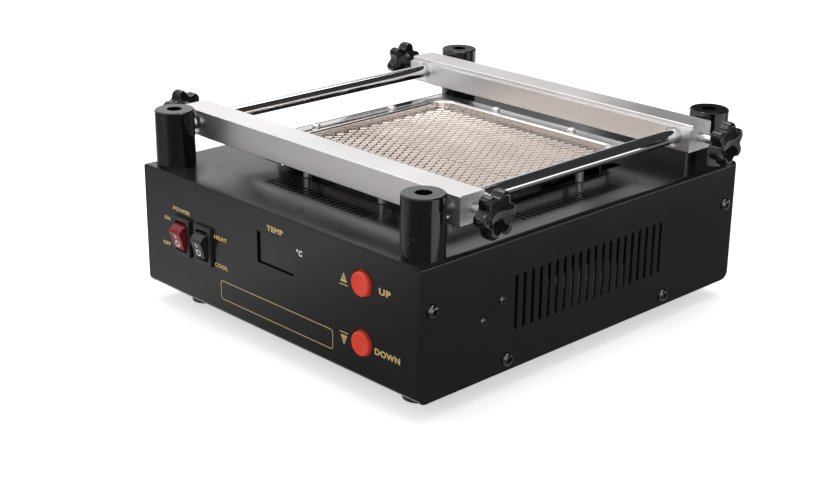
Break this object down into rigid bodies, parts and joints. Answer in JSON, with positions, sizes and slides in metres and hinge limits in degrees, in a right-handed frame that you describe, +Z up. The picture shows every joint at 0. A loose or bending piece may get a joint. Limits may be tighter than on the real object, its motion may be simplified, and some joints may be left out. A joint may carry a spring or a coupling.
{
  "type": "circuit board preheater",
  "caption": "Benchtop infrared preheater for circuit boards: black vented steel case, guarded ceramic heater on top and a board holder of sliding rails clamped on rods by lobed knobs.",
  "frame": {"origin": "on the floor that the feet stand on, under the middle of the case", "axes": "+X to the right as seen from the front, +Y from the front panel to the rear panel, +Z up"},
  "size_m": [0.261, 0.2632, 0.1146],
  "materials": {
    "case_paint": "fine black powder coat",
    "post_paint": "gloss black",
    "black_screw": "black oxide",
    "bright_screw": "zinc plated",
    "rod_chrome": "ground and polished",
    "rail_aluminium": "satin",
    "stainless": "satin stainless",
    "foot_rubber": "matte",
    "insulation": "fibrous",
    "ceramic": "glazed ceramic",
    "black_plastic": "satin",
    "dark_plastic": "matte",
    "knob_plastic": "gloss phenolic",
    "brass": "bright",
    "lens": "tinted, polished",
    "board": "solder mask",
    "core_steel": "varnished laminations",
    "block_plastic": "matte",
    "red_rocker": "translucent red",
    "red_button": "satin red"
  },
  "bodies": {
    "case": {"base_chassis": "case_paint", "top_cover": "case_paint", "cover_screws": "black_screw", "foot_front_left": "foot_rubber", "foot_front_right": "foot_rubber", "foot_rear_left": "foot_rubber", "foot_rear_right": "foot_rubber", "foot_screws": "bright_screw", "post_front_left": "post_paint", "post_front_right": "post_paint", "post_rear_left": "post_paint", "post_rear_right": "post_paint", "post_screws": "black_screw", "post_nuts": "bright_screw", "guide_rod_left": "rod_chrome", "guide_rod_right": "rod_chrome", "heater_tray": "stainless", "heater_spacers": "bright_screw", "heater_screws": "bright_screw", "heater_nuts": "bright_screw", "insulation_board": "insulation", "heater_plate_front": "ceramic", "heater_plate_rear": "ceramic", "thermocouple": "stainless", "guard_mesh": "stainless", "power_switch": "black_plastic", "mode_switch": "black_plastic", "switch_terminals": "brass", "display_lens": "lens", "display_module": "dark_plastic", "control_board": "board", "board_spacers": "brass", "board_screws": "bright_screw", "tact_switches": "dark_plastic", "fan_frame": "dark_plastic", "fan_screws": "black_screw", "mains_inlet": "black_plastic", "inlet_pins": "brass", "inlet_screws": "black_screw", "fuse_holder": "black_plastic", "heat_sink": "rail_aluminium", "triac": "dark_plastic", "sink_screws": "black_screw", "transformer": "core_steel", "terminal_block": "block_plastic"},
    "front_rail": {"front_rail": "rail_aluminium"},
    "rear_rail": {"rear_rail": "rail_aluminium"},
    "stud_front_left": {"stud_front_left": "bright_screw"},
    "knob_front_left": {"knob_front_left": "knob_plastic"},
    "stud_front_right": {"stud_front_right": "bright_screw"},
    "knob_front_right": {"knob_front_right": "knob_plastic"},
    "stud_rear_left": {"stud_rear_left": "bright_screw"},
    "knob_rear_left": {"knob_rear_left": "knob_plastic"},
    "stud_rear_right": {"stud_rear_right": "bright_screw"},
    "knob_rear_right": {"knob_rear_right": "knob_plastic"},
    "power_rocker": {"power_rocker": "red_rocker"},
    "mode_rocker": {"mode_rocker": "black_plastic"},
    "up_button": {"up_button": "red_button"},
    "down_button": {"down_button": "red_button"},
    "fan_rotor": {"fan_rotor": "dark_plastic"}
  },
  "joints": [
    {"name": "front_rail_slide", "type": "slide", "parent": "case", "child": "front_rail", "axis": [0, 1, 0], "range_m": [-0.002, 0.075]},
    {"name": "rear_rail_slide", "type": "slide", "parent": "case", "child": "rear_rail", "axis": [0, -1, 0], "range_m": [-0.002, 0.075]},
    {"name": "clamp_advance_front_left", "type": "slide", "parent": "front_rail", "child": "stud_front_left", "axis": [-1, 0, 0], "range_m": [-0.0004, 0.0008]},
    {"name": "clamp_turn_front_left", "type": "hinge", "parent": "stud_front_left", "child": "knob_front_left", "pos_m": [-0.1095, -0.0891, 0.1021], "axis": [-1, 0, 0], "range_deg": [-180.5, 360.5]},
    {"name": "clamp_advance_front_right", "type": "slide", "parent": "front_rail", "child": "stud_front_right", "axis": [1, 0, 0], "range_m": [-0.0004, 0.0008]},
    {"name": "clamp_turn_front_right", "type": "hinge", "parent": "stud_front_right", "child": "knob_front_right", "pos_m": [0.1095, -0.0891, 0.1021], "axis": [1, 0, 0], "range_deg": [-180.5, 360.5]},
    {"name": "clamp_advance_rear_left", "type": "slide", "parent": "rear_rail", "child": "stud_rear_left", "axis": [-1, 0, 0], "range_m": [-0.0004, 0.0008]},
    {"name": "clamp_turn_rear_left", "type": "hinge", "parent": "stud_rear_left", "child": "knob_rear_left", "pos_m": [-0.1095, 0.0891, 0.1021], "axis": [-1, 0, 0], "range_deg": [-180.5, 360.5]},
    {"name": "clamp_advance_rear_right", "type": "slide", "parent": "rear_rail", "child": "stud_rear_right", "axis": [1, 0, 0], "range_m": [-0.0004, 0.0008]},
    {"name": "clamp_turn_rear_right", "type": "hinge", "parent": "stud_rear_right", "child": "knob_rear_right", "pos_m": [0.1095, 0.0891, 0.1021], "axis": [1, 0, 0], "range_deg": [-180.5, 360.5]},
    {"name": "power_switch_tip", "type": "hinge", "parent": "case", "child": "power_rocker", "pos_m": [-0.0755, -0.1255, 0.0469], "axis": [-1, 0, 0], "range_deg": [0, 33]},
    {"name": "mode_switch_tip", "type": "hinge", "parent": "case", "child": "mode_rocker", "pos_m": [-0.0564, -0.1255, 0.0469], "axis": [-1, 0, 0], "range_deg": [0, 33]},
    {"name": "up_button_press", "type": "slide", "parent": "case", "child": "up_button", "axis": [0, 1, 0], "range_m": [0, 0.0008], "stiffness_N_per_m": 900, "springref_m": -0.0008},
    {"name": "down_button_press", "type": "slide", "parent": "case", "child": "down_button", "axis": [0, 1, 0], "range_m": [0, 0.0008], "stiffness_N_per_m": 900, "springref_m": -0.0008},
    {"name": "fan_spin", "type": "hinge", "parent": "case", "child": "fan_rotor", "pos_m": [-0.058, 0.1175, 0.039], "axis": [0, 1, 0], "continuous": true}
  ],
  "couplings": [
    {"joint": "clamp_turn_front_left", "follows": "clamp_advance_front_left", "rad_per_m": 7854},
    {"joint": "clamp_turn_front_right", "follows": "clamp_advance_front_right", "rad_per_m": 7854},
    {"joint": "clamp_turn_rear_left", "follows": "clamp_advance_rear_left", "rad_per_m": 7854},
    {"joint": "clamp_turn_rear_right", "follows": "clamp_advance_rear_right", "rad_per_m": 7854}
  ]
}
